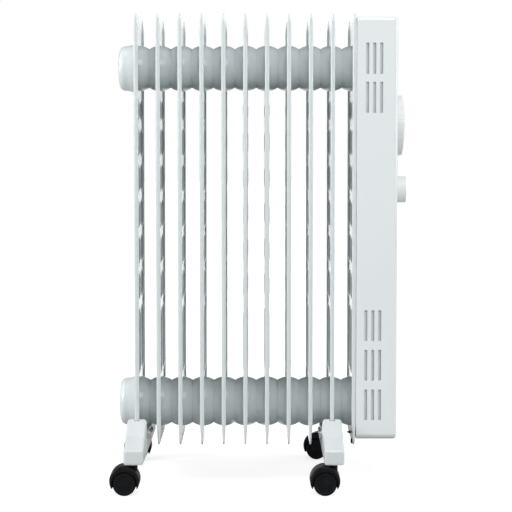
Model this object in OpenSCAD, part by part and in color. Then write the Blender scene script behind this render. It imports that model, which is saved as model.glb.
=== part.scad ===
// Oil filled radiator heater on casters.
// Millimetres. +X runs along the row of fins towards the control box, -Y is the front, +Z is up.
// The origin is on the floor, at the middle of the overall box.

/* [Fins] */
// Distance from one fin to the next
fin_pitch = 29.24; // [27:0.02:32]
// Depth of a fin, front to back
fin_depth = 110; // [100:1:120]
// Height of a fin
fin_height = 580; // [560:1:600]
// Height of the fins' lower edge above the floor
fin_bottom = 54; // [52:0.5:58]
// Thickness of the welded pair of sheets
pair_thick = 2; // [1.6:0.1:2.4]
// Thickness of the rolled front and rear edges
hem_thick = 5.7; // [4:0.1:5.8]
// Radius of a fin's upper corners
top_corner = 7; // [4:0.5:16]
// Radius of a fin's lower corners
bottom_corner = 7; // [4:0.5:16]
// Thickness of a fin across an oil channel
channel_thick = 7.2; // [5:0.2:9]

/* [Headers] */
// Height of the top header's centre
top_header_z = 563.3; // [560:0.1:575]
// Radius of the top header at a fin
top_header_r = 31; // [29:0.5:33]
// Height of the bottom header's centre
low_header_z = 104.5; // [103:0.1:108]
// Radius of the bottom header at a fin
low_header_r = 33.8; // [31:0.1:34]
// How much smaller a header is midway between two fins
neck_drop = 4.5; // [3:0.1:6]
// How far the end caps stand out from the first fin
cap_reach = 26; // [20:0.5:30]

/* [Control box] */
// Width of the box, along the row of fins
box_width = 54.9; // [50:0.1:60]
// Height of the box's underside above the floor
box_bottom = 61.7; // [60:0.1:72]
// Height of the box's top above the floor
box_top = 629.7; // [615:0.1:632]
// Height of the thermostat dial's centre
dial_z = 485.7; // [470:0.1:495]
// Radius of the thermostat dial
dial_r = 41; // [36:0.5:44]
// Height of the selector knob's centre
selector_z = 397.7; // [385:0.1:405]
// Radius of the selector knob
selector_r = 18; // [14:0.5:20]
// How far the selector knob stands out
selector_reach = 16.5; // [12:0.5:20]

/* [Feet and casters] */
// Width of a foot
foot_width = 26; // [24:0.5:28]
// Distance of a foot's end from the middle
foot_half = 116; // [112:1:122]
// Distance of a caster's stem from the middle
stem_y = 103.5; // [100:0.5:106]
// Radius of a wheel
wheel_r = 15.35; // [15:0.05:15.8]
// Radius of a caster's hood
hood_r = 19.85; // [19.5:0.05:20]
// Distance from a stem's axis back to its wheels' axle
trail = 12; // [11:0.5:13]
// How far the right rear caster is turned from the others
rear_right_turn = 27; // [0:1:45]

/* [Hidden] */
$fn = 64;

fin_count = 11;
right_foot_fin = 10;
white = [0.93, 0.94, 0.94];
steel = [0.72, 0.73, 0.75];
black = [0.09, 0.09, 0.10];
plastic = [0.90, 0.90, 0.88];
brass = [0.80, 0.66, 0.35];

// The row is set out so that the caster hoods on the left and the selector knob on the right
// are the same distance from the origin.
box_gap = 2.9;
left_reach = trail + hood_r;
right_reach = box_gap + box_width + selector_reach;
row_length = (fin_count - 1) * fin_pitch;
first_fin_x = left_reach - (left_reach + row_length + right_reach) / 2;
function fin_x(i) = first_fin_x + (i - 1) * fin_pitch;
last_fin_x = fin_x(fin_count);
box_x0 = last_fin_x + box_gap;
box_x1 = box_x0 + box_width;

// Fins
hem_depth = 7;
hem_low = 29;
hem_high = fin_height - 17;
channel_y = 27;
channel_half = 12;
lobe_pitch = 48.9;
lobe_count = 6;
lobes_top = 524.5;
lobes_bottom = 144;
lobe_gap = 9;
gallery_thick = 0.9;
gallery_width = 16;

// Headers
header_wall = 1.2;
end_sheet = 0.8;
neck_hole_r = 19;

// Box
box_wall = 1.2;
box_edge_r = 5;
shield_x = box_x0 + 9;
slot_width = 4.4;
slot_height = 41.3;
slot_pitch_x = 9.3;
upper_slots_x = box_x0 + 13.9;
lower_slots_x = box_x0 + 12.7;
upper_slots_z = [574.3, 522.4];
lower_slots_z = [216.4, 162.8, 109.2];
spindle_r = 3;
fit_gap = 0.05;
lamp_z = 430;
cutout_z = 152;
gland_x = box_x0 + box_width / 2;
gland_z = 79.5;
gland_r = 6;
gland_flange_r = 8;
cord_bore_r = 3.5;
tab_screw_z = 61;
tab_bottom = 50;
clip_y = -28;
tilt_z = 300;
tilt_x = shield_x + 16;

// Feet and casters
foot_low = 41;
foot_sheet = 1.8;
foot_mid_top = 64;
foot_peak = 89;
foot_peak_y = 56;
screw_y = 22;
screw_z = 60;
axle_r = 2;
hood_width = 27;
web_half = 3.5;
hood_z = 19.3;
hood_cut = 9.9;
neck_r = 4.8;
neck_top = 39;
stem_r = 3;
sleeve_r = 6;

// A box given by two opposite corners.
module block(low, high) {
    translate(low) cube(high - low);
}

// A rectangle with round corners.
module rounded_rect(w, h, r) {
    translate([r, 0]) square([w - 2 * r, h]);
    translate([0, r]) square([w, h - 2 * r]);
    for (x = [r, w - r], y = [r, h - r]) translate([x, y]) circle(r);
}

// A box whose edges are all rounded: three crossed prisms.
module soft_box(low, high, r) {
    size = high - low;
    translate(low) intersection() {
        linear_extrude(size.z) rounded_rect(size.x, size.y, r);
        translate([0, size.y, 0]) rotate([90, 0, 0]) linear_extrude(size.y)
            rounded_rect(size.x, size.z, r);
        rotate([90, 0, 90]) linear_extrude(size.x) rounded_rect(size.y, size.z, r);
    }
}

// A shape drawn in Y and Z, given a thickness along X about x = 0.
module along_x(thick) {
    translate([-thick / 2, 0, 0]) rotate([90, 0, 90]) linear_extrude(thick) children();
}

// A rod along X.
module rod_x(x0, x1, r) {
    translate([x0, 0, 0]) rotate([0, 90, 0]) cylinder(h = x1 - x0, r = r);
}

// A rod along Y.
module rod_y(y0, y1, r) {
    translate([0, y0, 0]) rotate([-90, 0, 0]) cylinder(h = y1 - y0, r = r);
}

// Outline of a fin, in Y and Z, with its lower edge at z = 0.
module fin_outline() {
    half = fin_depth / 2;
    translate([-half, bottom_corner])
        square([fin_depth, fin_height - bottom_corner - top_corner]);
    translate([bottom_corner - half, 0])
        square([fin_depth - 2 * bottom_corner, bottom_corner + 1]);
    translate([top_corner - half, fin_height - top_corner - 1])
        square([fin_depth - 2 * top_corner, top_corner + 1]);
    for (s = [-1, 1]) {
        translate([s * (half - bottom_corner), bottom_corner]) circle(bottom_corner);
        translate([s * (half - top_corner), fin_height - top_corner]) circle(top_corner);
    }
}

// Rolled front and rear edges, which thin out towards the corners.
module hems() {
    t = hem_thick / 2;
    p = pair_thick / 2;
    intersection() {
        for (y = [-fin_depth / 2, fin_depth / 2 - hem_depth])
            translate([0, y + hem_depth, 0]) rotate([90, 0, 0]) linear_extrude(hem_depth)
                polygon([
                    [-p, 0], [p, 0], [t, hem_low], [t, hem_high],
                    [p, fin_height], [-p, fin_height], [-t, hem_high], [-t, hem_low]
                ]);
        along_x(hem_thick + 1) fin_outline();
    }
}

// One raised length of an oil channel, on both faces of the fin.
module lobe(z0, z1) {
    t = channel_thick / 2;
    p = pair_thick / 2 - 0.1;
    slope = 6;
    curve_r = (pow(channel_half + 2, 2) + t * t) / (2 * t);
    intersection() {
        translate([0, 0, z0]) linear_extrude(z1 - z0) intersection() {
            translate([t - curve_r, 0]) circle(curve_r, $fn = 128);
            translate([curve_r - t, 0]) circle(curve_r, $fn = 128);
        }
        translate([0, channel_half + 2, 0]) rotate([90, 0, 0])
            linear_extrude(2 * channel_half + 4)
                polygon([
                    [-p, z0], [p, z0], [t + 0.1, z0 + slope], [t + 0.1, z1 - slope],
                    [p, z1], [-p, z1], [-t - 0.1, z1 - slope], [-t - 0.1, z0 + slope]
                ]);
    }
}

// A column of lobes, pinched at even steps, with a longer one at the bottom.
module channel() {
    for (i = [0 : lobe_count - 1])
        lobe(lobes_top - (i + 1) * lobe_pitch + lobe_gap / 2,
             lobes_top - i * lobe_pitch - lobe_gap / 2);
    lobe(lobes_bottom, lobes_top - lobe_count * lobe_pitch - lobe_gap / 2);
}

// Half profile of a header between two neck planes: radius r at the fin, drawn radius against axis.
module header_profile(r, inset) {
    half = fin_pitch / 2 - inset;
    bulge = (pow(fin_pitch / 2, 2) + pow(neck_drop, 2)) / (2 * neck_drop);
    intersection() {
        translate([r - bulge, 0]) circle(bulge - inset, $fn = 128);
        translate([0, -half]) square([r + 1, 2 * half]);
    }
}

// Solid header section; sides is [left, right], 1 where the fin has a dome on that side.
// With an inset it is the hollow inside, which leaves one sheet standing on a side with no dome.
module header_section(r, sides, inset = 0) {
    flat = pair_thick / 2 - (inset > 0 ? end_sheet : 0);
    ends = [for (s = sides) s == 1 ? fin_pitch : flat];
    rotate([0, 90, 0]) rotate_extrude($fn = 96) intersection() {
        header_profile(r, inset);
        translate([0, -ends[0]]) square([r + 1, ends[0] + ends[1]]);
    }
}

// One fin: welded pair of sheets, rolled edges, channels and header domes, hollow inside.
module fin(i) {
    sides = [i == 1 ? 0 : 1, i == fin_count ? 0 : 1];
    headers = [[top_header_z, top_header_r], [low_header_z, low_header_r]];
    color(white) translate([fin_x(i), 0, 0]) difference() {
        union() {
            translate([0, 0, fin_bottom]) {
                along_x(pair_thick) fin_outline();
                hems();
            }
            for (y = [-channel_y, channel_y]) translate([0, y, 0]) channel();
            for (h = headers) translate([0, 0, h[0]]) header_section(h[1], sides);
        }
        for (h = headers) translate([0, 0, h[0]]) {
            header_section(h[1], sides, header_wall);
            if (i < fin_count || h[0] == low_header_z)
                rod_x(-fin_pitch, fin_pitch, neck_hole_r);
            if (i == fin_count && h[0] == top_header_z)
                rod_x(-fin_pitch, 0, neck_hole_r);
        }
        for (y = [-channel_y, channel_y])
            translate([0, y, 0])
                block([-gallery_thick / 2, -gallery_width / 2, low_header_z + 10],
                      [gallery_thick / 2, gallery_width / 2, top_header_z - 10]);
        if (i == 1 || i == right_foot_fin)
            for (y = [-screw_y, screw_y])
                translate([0, y, screw_z]) rod_x(-2, 2, 2.2);
        if (i == fin_count) translate([0, 0, tab_screw_z]) rod_x(-2, 2, 2);
    }
}

// Deep-drawn cup that closes a header on the left of the first fin.
module end_cap(z, r) {
    body_r = r * 0.99;
    flare_r = body_r + 3.5;
    edge = 6;
    color(white) translate([fin_x(1) - pair_thick / 2, 0, z]) rotate([0, -90, 0])
        rotate_extrude($fn = 96) difference() {
            union() {
                square([body_r - edge, cap_reach - 1]);
                square([body_r, cap_reach - 1 - edge]);
                translate([body_r - edge, cap_reach - 1 - edge]) circle(edge);
                polygon([[0, 0], [flare_r, 0], [flare_r, 1.2], [body_r, 4], [0, 4]]);
            }
            square([body_r - edge, cap_reach - 1 - header_wall]);
            square([body_r - header_wall, cap_reach - 1 - edge]);
            translate([body_r - edge, cap_reach - 1 - edge]) circle(edge - header_wall);
            translate([-edge, -1]) square([edge, cap_reach + 2]);
        }
}

// Hairpin heating element that lies in the bottom header.
module heating_element() {
    rod = 4.2;
    half = 11;
    x0 = fin_x(1) + 6;
    color(steel) translate([0, 0, low_header_z]) {
        for (s = [-1, 1]) translate([0, s * half, 0]) rod_x(x0, last_fin_x + 17, rod);
        translate([x0, 0, 0]) rotate([0, 0, 90]) rotate_extrude(angle = 180)
            translate([half, 0]) circle(rod);
    }
}

// Flange that seals the bottom header round the element's two legs.
module element_flange() {
    color(brass) translate([last_fin_x, 0, low_header_z]) difference() {
        union() {
            rod_x(-3, 2, neck_hole_r - 0.2);
            rod_x(pair_thick / 2, 8, 24);
        }
        for (s = [-1, 1]) translate([0, s * 11, 0]) rod_x(-4, 9, 4.2);
    }
}

// Plug in the oil filling hole at the end of the top header.
module filler_plug() {
    color(steel) translate([last_fin_x + pair_thick / 2, 0, top_header_z]) {
        rod_x(0, 2, 9);
        rotate([0, 90, 0]) cylinder(h = 7, r = 7, $fn = 6);
    }
}

// Side outline of a foot: low in the middle, peaked beside the fin's edges, sloping to its ends.
function foot_side(s, drop) = [
    [s * (foot_half - drop), foot_low - 1],
    [s * (foot_half - drop), 61 - drop],
    [s * 85, 71.5 - 1.2 * drop],
    [s * foot_peak_y, foot_peak - 1.3 * drop],
    [s * (foot_peak_y - 4), foot_peak - 1.6 * drop],
    [s * 36, foot_mid_top - drop]
];
module foot_outline(drop) {
    right = foot_side(1, drop);
    left = foot_side(-1, drop);
    polygon(concat(left, [for (k = [5 : -1 : 0]) right[k]]));
}

// Pressed foot: an upside-down channel, slotted for the fin, with a caster socket at each end.
module foot(i) {
    side = foot_width / 2;
    color(white) translate([fin_x(i), 0, 0]) difference() {
        union() {
            difference() {
                along_x(foot_width) foot_outline(0);
                along_x(foot_width - 2 * foot_sheet) foot_outline(foot_sheet);
            }
            for (s = [-1, 1])
                block([1 - side, min(s * 94, s * (foot_half - 1)), foot_low],
                      [side - 1, max(s * 94, s * (foot_half - 1)), 56]);
        }
        block([-side - 1, -foot_half - 1, 0], [side + 1, foot_half + 1, foot_low]);
        block([-3.2, -foot_peak_y - 1, 50], [3.2, foot_peak_y + 1, foot_peak + 5]);
        for (s = [-1, 1]) translate([0, s * stem_y, 0]) cylinder(h = 57, r = sleeve_r);
        for (y = [-screw_y, screw_y]) translate([0, y, screw_z]) rod_x(-side - 1, side + 1, 2.2);
    }
}

// Screws that clamp each foot to its fin, with their nuts.
module foot_screws() {
    side = foot_width / 2;
    color(steel) for (i = [1, right_foot_fin], y = [-screw_y, screw_y])
        translate([fin_x(i), y, screw_z]) {
            rod_x(-side - 0.5, side + 3.5, 2);
            rod_x(-side - 2.5, -side, 3.5);
            translate([side, 0, 0]) rotate([0, 90, 0]) cylinder(h = 3, r = 3.8, $fn = 6);
        }
}

// Casters are drawn round their stem's axis, with the wheels trailing towards -X.
module at_caster(i, s, turn) {
    translate([fin_x(i), s * stem_y, 0]) rotate([0, 0, turn]) children();
}

// Steel stem with the sleeve that sits in the foot's socket.
module caster_stem(i, s, turn) {
    color(steel) at_caster(i, s, turn) {
        translate([0, 0, 27.3]) cylinder(h = 28, r = stem_r);
        translate([0, 0, neck_top + 0.4]) cylinder(h = 17, r = sleeve_r);
    }
}

// Hood: central web, fenders over both wheels, and the neck that turns on the stem.
module caster_hood(i, s, turn) {
    color(black) at_caster(i, s, turn) difference() {
        union() {
            translate([-trail, 0, hood_z]) rod_y(-hood_width / 2, hood_width / 2, hood_r);
            translate([0, 0, hood_z]) cylinder(h = neck_top - hood_z, r = neck_r);
        }
        for (k = [-1, 1])
            translate([-trail, 0, wheel_r])
                rod_y(k > 0 ? web_half : -hood_width, k > 0 ? hood_width : -web_half, wheel_r + 1.2);
        block([-3 * hood_r, -hood_width, -1], [hood_r, hood_width, hood_cut]);
        translate([0, 0, 27]) cylinder(h = 20, r = stem_r + fit_gap);
        translate([-trail, 0, wheel_r]) rod_y(-hood_width, hood_width, axle_r);
    }
}

// Axle, held in the hood's web.
module caster_axle(i, s, turn) {
    color(steel) at_caster(i, s, turn)
        translate([-trail, 0, wheel_r]) rod_y(-11, 11, axle_r);
}

// Wheel with a dished outer face and a blind bore.
module caster_wheel(i, s, turn, side) {
    color(black) at_caster(i, s, turn) translate([-trail, 0, wheel_r])
        rotate([-side * 90, 0, 0]) rotate_extrude($fn = 96) difference() {
            polygon([
                [0, web_half + 0.4], [wheel_r - 1, web_half + 0.4], [wheel_r, web_half + 1.4],
                [wheel_r, 12.2], [wheel_r - 1, 13.2], [wheel_r - 4, 13.2],
                [wheel_r - 5, 12.4], [0, 12.4]
            ]);
            square([axle_r + fit_gap, 11.1]);
        }
}

// A row of vertical slots through the box's front and rear walls.
module slot_row(x, z) {
    for (k = [0 : 2])
        block([x + k * slot_pitch_x - slot_width / 2, -fin_depth, z - slot_height / 2],
              [x + k * slot_pitch_x + slot_width / 2, fin_depth, z + slot_height / 2]);
}

// Sheet-steel cover of the control box, open towards the fins.
module box_cover() {
    half = fin_depth / 2;
    color(white) difference() {
        soft_box([box_x0 - 10, -half, box_bottom], [box_x1, half, box_top], box_edge_r);
        soft_box([box_x0 - 20, -half + box_wall, box_bottom + box_wall],
                 [box_x1 - box_wall, half - box_wall, box_top - box_wall],
                 box_edge_r - box_wall);
        block([box_x0 - 11, -half - 1, box_bottom - 1], [box_x0, half + 1, box_top + 1]);
        for (z = upper_slots_z) slot_row(upper_slots_x, z);
        for (z = lower_slots_z) slot_row(lower_slots_x, z);
        block([box_x0 - 1, -12.5, box_bottom - 1], [box_x0 + 5.5, 12.5, box_bottom + 3]);
        translate([0, 0, dial_z]) rod_x(box_x1 - 3, box_x1 + 1, spindle_r + 1);
        translate([0, 0, selector_z]) rod_x(box_x1 - 3, box_x1 + 1, spindle_r + 1);
        translate([0, 0, lamp_z]) rod_x(box_x1 - 3, box_x1 + 1, 4);
        translate([gland_x, 0, gland_z]) rod_y(0, half + 1, gland_r);
    }
}

// Plate that closes the box on the fins' side, with a fixing tab below.
module back_plate() {
    half = fin_depth / 2 - box_wall - 0.3;
    x = box_x0 + 0.7;
    color(steel) difference() {
        union() {
            block([x, -half, box_bottom + 1.6], [x + 1, half, box_top - 1.6]);
            block([x, -12, tab_bottom], [x + 1, 12, box_bottom + 2]);
        }
        for (z = [box_bottom + 1.6, box_top - 1.6], y = [-half, half])
            translate([x - 1, y - 4, z - 4]) cube([3, 8, 8]);
        translate([x, 0, low_header_z]) rod_x(-1, 2, 25);
        translate([x, 0, top_header_z]) rod_x(-1, 2, 10);
        translate([x, 0, cutout_z]) rod_x(-1, 2, 10);
        translate([x, 0, tab_screw_z]) rod_x(-1, 2, 2);
    }
}

// Reflecting shield between the hot end fin and the controls, on four standoffs.
module heat_shield() {
    color(steel) difference() {
        union() {
            block([shield_x, -46, 80], [shield_x + 0.8, 46, 600]);
            for (y = [-38, 38], z = [190, 560])
                translate([0, y, z]) rod_x(box_x0 + 1.7, shield_x, 4);
        }
        translate([shield_x, 0, low_header_z]) rod_x(-1, 2, 18);
        translate([shield_x, 0, cutout_z]) rod_x(-1, 2, 10);
    }
}

// Screw through the last fin into the plate's tab, and the clip on the fin's lower edge.
module box_fixings() {
    color(black) {
        translate([last_fin_x, 0, tab_screw_z]) {
            rod_x(-2.5, 8, 1.9);
            translate([-2.5, 0, 0]) rotate([0, -90, 0]) cylinder(h = 3.5, r1 = 1.9, r2 = 0.3);
            rod_x(box_gap + 1.7, box_gap + 4.5, 3.6);
        }
        translate([last_fin_x, clip_y, fin_bottom]) difference() {
            block([-2.4, -3, -2.5], [2.4, 3, 3.5]);
            block([-pair_thick / 2, -4, -0.1], [pair_thick / 2, 4, 4]);
        }
    }
}

// Capillary thermostat behind the dial.
module thermostat_body() {
    color(plastic) difference() {
        union() {
            block([box_x1 - box_wall - 22, -20, dial_z - 22],
                  [box_x1 - box_wall - 3, 20, dial_z + 22]);
            translate([0, 0, dial_z]) rod_x(box_x1 - box_wall - 4, box_x1 - box_wall, 8);
        }
        translate([0, 0, dial_z]) rod_x(box_x1 - 15, box_x1, spindle_r + fit_gap);
    }
}
module thermostat_spindle() {
    color(brass) translate([0, 0, dial_z]) rod_x(box_x1 - 14, box_x1 + 8, spindle_r);
}

// Crowned thermostat dial.
module thermostat_dial() {
    rim = 9.5;
    crown = 13.5;
    ball = (dial_r * dial_r + pow(crown - rim, 2)) / (2 * (crown - rim));
    color(white) translate([box_x1, 0, dial_z]) rotate([0, 90, 0])
        rotate_extrude($fn = 128) difference() {
            intersection() {
                translate([0, 1]) square([dial_r, crown]);
                translate([0, crown - ball]) circle(ball, $fn = 256);
            }
            square([spindle_r, 8]);
            translate([12, 0]) square([dial_r - 15, 6]);
        }
}

// Rotary power selector.
module selector_switch() {
    color(black) difference() {
        union() {
            block([box_x1 - box_wall - 22, -16, selector_z - 17],
                  [box_x1 - box_wall - 3, 16, selector_z + 17]);
            translate([0, 0, selector_z]) rod_x(box_x1 - box_wall - 4, box_x1 - box_wall, 8);
        }
        translate([0, 0, selector_z]) rod_x(box_x1 - 15, box_x1, spindle_r + fit_gap);
    }
}
module selector_spindle() {
    color(brass) translate([0, 0, selector_z]) rod_x(box_x1 - 14, box_x1 + 10, spindle_r);
}

// Power selector knob with a softened rim.
module selector_knob() {
    color(white) translate([box_x1, 0, selector_z]) rotate([0, 90, 0])
        rotate_extrude($fn = 96) difference() {
            polygon([
                [0, 1], [selector_r, 1], [selector_r, selector_reach - 2.5],
                [selector_r - 1, selector_reach - 1.2], [selector_r - 4, selector_reach],
                [0, selector_reach]
            ]);
            square([spindle_r, 10]);
            translate([7, 0]) square([selector_r - 10, 9]);
        }
}

// Neon lamp, its lens nearly flush with the box.
module indicator_lamp() {
    color([0.9, 0.25, 0.1]) translate([0, 0, lamp_z]) {
        rod_x(box_x1 - 18, box_x1 - box_wall, 3.6);
        rod_x(box_x1 - box_wall - 0.5, box_x1 + 0.8, 3.9);
    }
}

// Terminal block on the heat shield.
module terminal_block() {
    color(plastic) difference() {
        block([shield_x + 0.8, -20, 112], [shield_x + 15, 20, 132]);
        for (y = [-12, -4, 4, 12])
            translate([shield_x + 12, y, 122]) rod_x(0, 4, 2.2);
    }
}

// Thermal cut-out clipped to the last fin.
module thermal_cutout() {
    color(black) translate([last_fin_x + pair_thick / 2, 0, cutout_z]) {
        rod_x(0, 3, 8);
        rod_x(3, 8, 5);
    }
}

// Tilt switch: a fork on the heat shield that holds the pivot pin of a hanging weight.
module tilt_switch() {
    color(plastic) {
        block([shield_x + 0.8, -9, tilt_z - 8], [shield_x + 3, 9, tilt_z + 8]);
        for (s = [-1, 1])
            block([shield_x + 2, min(s * 6, s * 9), tilt_z - 6],
                  [tilt_x + 5, max(s * 6, s * 9), tilt_z + 6]);
        translate([tilt_x, 0, tilt_z]) rod_y(-8, 8, 1.5);
    }
}
module tilt_weight() {
    color(steel) translate([tilt_x, 0, tilt_z]) difference() {
        union() {
            rod_y(-4, 4, 3.5);
            block([-1.2, -3, -20], [1.2, 3, -2]);
            translate([0, 0, -22]) rod_y(-5, 5, 6);
        }
        rod_y(-5, 5, 1.5 + fit_gap);
    }
}

// Insulated leads between the terminals, the selector and the thermostat.
module wiring() {
    x = box_x1 - box_wall - 12;
    color([0.6, 0.1, 0.1]) {
        for (y = [-8, 0, 8]) translate([x, y, 140]) cylinder(h = selector_z - 17 - 140, r = 1.4);
        for (y = [-8, 8])
            translate([x, y, selector_z + 17])
                cylinder(h = dial_z - 22 - selector_z - 17, r = 1.4);
        for (y = [-8, 0, 8]) {
            translate([0, y, 141.4]) rod_x(shield_x + 7, x, 1.4);
            translate([shield_x + 8.4, y, 132]) cylinder(h = 9.4, r = 1.4);
        }
    }
}

// Gland in the rear wall that the mains cord would pass through.
module cord_gland() {
    half = fin_depth / 2;
    color(black) translate([gland_x, 0, gland_z]) difference() {
        union() {
            rod_y(half - 6, half + 5, gland_r);
            rod_y(half, half + 3, gland_flange_r);
            rod_y(half - box_wall - 3, half - box_wall, gland_flange_r);
        }
        rod_y(half - 7, half + 6, cord_bore_r);
    }
}

fin(1);  // fin_01
fin(2);  // fin_02
fin(3);  // fin_03
fin(4);  // fin_04
fin(5);  // fin_05
fin(6);  // fin_06
fin(7);  // fin_07
fin(8);  // fin_08
fin(9);  // fin_09
fin(10);  // fin_10
fin(11);  // fin_11
end_cap(top_header_z, top_header_r);  // end_cap_top
end_cap(low_header_z, low_header_r - 1);  // end_cap_bottom
heating_element();
element_flange();
filler_plug();
foot(1);  // foot_left
foot(right_foot_fin);  // foot_right
foot_screws();
caster_stem(1, -1, 0);  // caster_fl_stem
caster_hood(1, -1, 0);  // caster_fl_hood
caster_axle(1, -1, 0);  // caster_fl_axle
caster_wheel(1, -1, 0, -1);  // caster_fl_wheel_front
caster_wheel(1, -1, 0, 1);  // caster_fl_wheel_rear
caster_stem(right_foot_fin, -1, 0);  // caster_fr_stem
caster_hood(right_foot_fin, -1, 0);  // caster_fr_hood
caster_axle(right_foot_fin, -1, 0);  // caster_fr_axle
caster_wheel(right_foot_fin, -1, 0, -1);  // caster_fr_wheel_front
caster_wheel(right_foot_fin, -1, 0, 1);  // caster_fr_wheel_rear
caster_stem(1, 1, 0);  // caster_rl_stem
caster_hood(1, 1, 0);  // caster_rl_hood
caster_axle(1, 1, 0);  // caster_rl_axle
caster_wheel(1, 1, 0, -1);  // caster_rl_wheel_front
caster_wheel(1, 1, 0, 1);  // caster_rl_wheel_rear
caster_stem(right_foot_fin, 1, -rear_right_turn);  // caster_rr_stem
caster_hood(right_foot_fin, 1, -rear_right_turn);  // caster_rr_hood
caster_axle(right_foot_fin, 1, -rear_right_turn);  // caster_rr_axle
caster_wheel(right_foot_fin, 1, -rear_right_turn, -1);  // caster_rr_wheel_front
caster_wheel(right_foot_fin, 1, -rear_right_turn, 1);  // caster_rr_wheel_rear
box_cover();
back_plate();
heat_shield();
box_fixings();
thermostat_body();
thermostat_spindle();
thermostat_dial();
selector_switch();
selector_spindle();
selector_knob();
indicator_lamp();
terminal_block();
thermal_cutout();
tilt_switch();
tilt_weight();
wiring();
cord_gland();
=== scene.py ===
import math

import bmesh
import bpy
import numpy as np
from mathutils import Matrix, Vector


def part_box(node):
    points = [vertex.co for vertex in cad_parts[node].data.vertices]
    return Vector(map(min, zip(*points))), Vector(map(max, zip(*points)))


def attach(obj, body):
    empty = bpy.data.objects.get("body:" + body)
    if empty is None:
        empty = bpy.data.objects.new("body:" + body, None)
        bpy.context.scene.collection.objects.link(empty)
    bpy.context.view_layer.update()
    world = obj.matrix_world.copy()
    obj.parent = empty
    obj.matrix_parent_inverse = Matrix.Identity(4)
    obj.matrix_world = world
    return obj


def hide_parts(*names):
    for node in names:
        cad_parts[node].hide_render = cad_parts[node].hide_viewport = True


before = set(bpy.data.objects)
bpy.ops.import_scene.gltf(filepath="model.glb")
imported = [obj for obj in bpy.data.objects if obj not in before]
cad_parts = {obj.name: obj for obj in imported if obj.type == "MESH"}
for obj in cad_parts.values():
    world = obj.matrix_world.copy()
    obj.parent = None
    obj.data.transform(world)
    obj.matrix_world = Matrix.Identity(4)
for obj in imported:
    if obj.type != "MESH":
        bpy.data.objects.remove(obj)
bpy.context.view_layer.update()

# Driving dimensions, in metres. Other places come from the CAD nodes in model.glb.
MM = 0.001

# Fins: a plate whose front and rear edges are rolled into hems, and its outline
FIN_COUNT = 11
PLATE_HALF = 1.0 * MM
HEM_HALF = 2.85 * MM
HEM_DEPTH = 7 * MM
HEM_TAPER_LOW = 29 * MM
HEM_TAPER_HIGH = 17 * MM
HEM_STEP = 1.2 * MM
RIM_POWER = 2.4
RIM_SHARE = 0.8
FIN_CORNER = 7 * MM

# Oil lobes pressed into each fin, in two channels
CHANNEL_Y = 27 * MM
LOBE_HALF_THICK = 3.6 * MM
LOBE_RADIUS = 14 * MM
LOBE_PITCH = 48.9 * MM
LOBE_RIDGE = 1.4
LOBE_GAP = 6.5 * MM
LOBE_COUNT = 6
LOBES_TOP_Z = 535.4 * MM
LOBES_LOW_Z = 144 * MM
FIRST_LOBE_Z = 522 * MM

# Headers and their end caps
TOP_HEADER_R = 31 * MM
LOW_HEADER_R = 33.8 * MM
NECK_DROP = 4.5 * MM
CAP_FLARE = 3.5 * MM
CAP_LIP = 1.2 * MM
CAP_WAIST = 13 * MM
CAP_EDGE = 9 * MM

# Control box, the notch for its tab, and its slots
BOX_WALL = 1.2 * MM
BOX_EDGE = 5 * MM
BOX_LOW_EDGE = 8.5 * MM
TAB_DEPTH = 5.5 * MM
TAB_HEIGHT = 3 * MM
TAB_HALF = 12.5 * MM
SLOT_WIDTH = 4.4 * MM
SLOT_HEIGHT = 41.3 * MM
SLOT_PITCH = 9.3 * MM
SLOTS_PER_ROW = 3
UPPER_SLOTS_X = 13.9 * MM
LOWER_SLOTS_X = 12.7 * MM
UPPER_SLOTS_Z = (574.3 * MM, 522.4 * MM)
LOWER_SLOTS_Z = (216.4 * MM, 162.8 * MM, 109.2 * MM)

# Knobs, marks and cord gland
KNOB_RIM_EDGE = 1.2 * MM
KNOB_BACK_EDGE = 0.6 * MM
DIAL_CROWN = 4.0 * MM
SELECTOR_CROWN = 0.8 * MM
MARK_LIFT = 0.12 * MM
GLAND_BORE_R = 3.5 * MM
GLAND_STUB_R = 6 * MM

# Foot: half of its top line from the middle out, as (y, z) of each bend, then the
# places along it where a loop is needed. The last ones follow the round corner.
FOOT_LINE = [(y * MM, z * MM) for y, z in (
    (0, 64), (36, 64), (52, 89), (56, 89), (85, 71.5), (116, 61))]
FOOT_STATIONS = [y * MM for y in (
    0, 8, 16, 24, 30, 42, 48, 62, 69, 77, 92, 100, 107,
    112.5, 113.5, 114.5, 115.3, 115.8, 116)]
FOOT_SHEET = 1.8 * MM
FOOT_LOW_Z = 41 * MM
FOOT_EDGE = 4 * MM
FOOT_CORNER = 3.5 * MM
FOOT_EASE = 1.6 * MM

# Casters, about the stem
CASTERS = ("fl", "fr", "rl", "rr")
TRAIL = 12 * MM
WHEEL_R = 15.35 * MM
WHEEL_FAR = 13.2 * MM
HOOD_R = 19.85 * MM
HOOD_Z = 19.3 * MM
HOOD_HALF = 13.5 * MM
HOOD_EDGE = 3.2 * MM
HOOD_CUT_Z = 9.9 * MM
POCKET_R = 16.55 * MM
WEB_HALF = 3.5 * MM
NECK_R = 4.8 * MM
NECK_TOP = 39 * MM

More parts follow.
